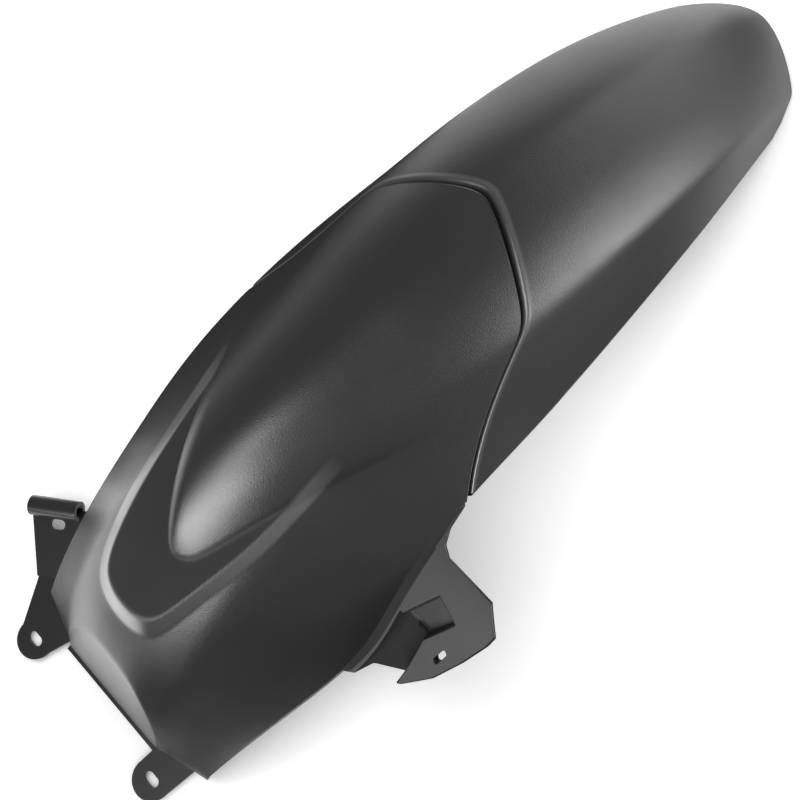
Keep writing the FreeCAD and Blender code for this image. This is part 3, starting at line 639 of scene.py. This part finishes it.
# Light. A plain white room and soft boxes: a key in front and a small one above for the bulge, panels that lie on
# the floor for the front and left walls, a wide fill on the left and two boxes behind for the tail.

ROOM_LIGHT = 0.35
world = bpy.data.worlds.new("studio")
world.use_nodes = True
world.node_tree.nodes["Background"].inputs["Color"].default_value = (1.0, 1.0, 1.0, 1.0)
world.node_tree.nodes["Background"].inputs["Strength"].default_value = ROOM_LIGHT
bpy.context.scene.world = world
bpy.context.scene.view_settings.view_transform = "Standard"


def softbox(name, place, target, width, height, power):
    """Rectangular area light that faces a target point."""
    light = bpy.data.lights.new(name, "AREA")
    light.shape = "RECTANGLE"
    light.size, light.size_y, light.energy = width, height, power
    lamp = bpy.data.objects.new(name, light)
    lamp.location = place
    lamp.rotation_euler = (Vector(target) - Vector(place)).to_track_quat("-Z", "Y").to_euler()
    bpy.context.scene.collection.objects.link(lamp)
    return lamp


key_box = softbox("key_box", (-1.02, -0.46, 0.74), (-0.18, -0.01, 0.1), 0.9, 0.5, 38.0)
top_box = softbox("top_box", (-0.46, -0.26, 1.13), (-0.1, 0.0, 0.13), 0.4, 0.4, 8.5)
front_panel = softbox("front_panel", (-0.56, 0.16, 0.002), (-0.56, 0.16, 1.0), 0.5, 0.32, 0.9)
left_panel = softbox("left_panel", (-0.25, 0.3, 0.002), (-0.25, 0.3, 1.0), 0.16, 0.3, 0.1)
left_box = softbox("left_box", (0.0, 1.3, 1.0), (0.0, 0.0, 0.1), 2.0, 1.5, 21.0)
softbox("right_strip", (0.86, -1.08, 0.2), (0.1, 0.0, 0.1), 0.95, 0.28, 20.0)
softbox("rear_box", (1.45, 0.1, 0.45), (0.1, 0.0, 0.1), 1.2, 0.7, 6.5)
for lamp in (key_box, top_box, front_panel, left_panel):
    lamp.visible_diffuse = False  # only the gloss sees these
left_box.visible_glossy = False  # and the gloss does not see this one


# Camera. Close above the part, as the photograph was taken, so the nose looks larger than the tail. Its angles are
# about the crown point at the seam, in the crown's own tilted frame, and its distance is in millimetres.

AZIMUTH, ELEVATION, ROLL = math.radians(-37.938), math.radians(69.118), math.radians(-6.547)
DISTANCE, SENSOR = 521.28, 36.0
PICTURE_PX, FOCAL_PX = 800.0, 1060.34
SEAM_PX_X, SEAM_PX_Y = 451.174, 221.736  # where the crown point at the seam falls in the picture
back = Vector((math.sin(AZIMUTH) * math.cos(ELEVATION), -math.cos(AZIMUTH) * math.cos(ELEVATION),
               math.sin(ELEVATION)))
level = Vector((math.cos(AZIMUTH), math.sin(AZIMUTH), 0.0))
over = back.cross(level)
right = level * math.cos(ROLL) + over * math.sin(ROLL)
upward = over * math.cos(ROLL) - level * math.sin(ROLL)
aside = (SEAM_PX_X - 0.5 * PICTURE_PX) * DISTANCE / FOCAL_PX
above = (0.5 * PICTURE_PX - SEAM_PX_Y) * DISTANCE / FOCAL_PX
stand = right * -aside + upward * -above + back * DISTANCE
pitch = Matrix.Rotation(PITCH, 3, "Y")
axes = pitch @ Matrix((right, upward, back)).transposed()
camera_data = bpy.data.cameras.new("camera")
camera_data.sensor_width = SENSOR
camera_data.lens = FOCAL_PX / PICTURE_PX * SENSOR
camera_data.clip_start, camera_data.clip_end = 0.01, 50.0
camera = bpy.data.objects.new("camera", camera_data)
camera.matrix_world = Matrix.Translation((pitch @ stand + Vector(SEAM_ORIGIN)) * 0.001) @ axes.to_4x4()
bpy.context.scene.collection.objects.link(camera)
bpy.context.scene.camera = camera
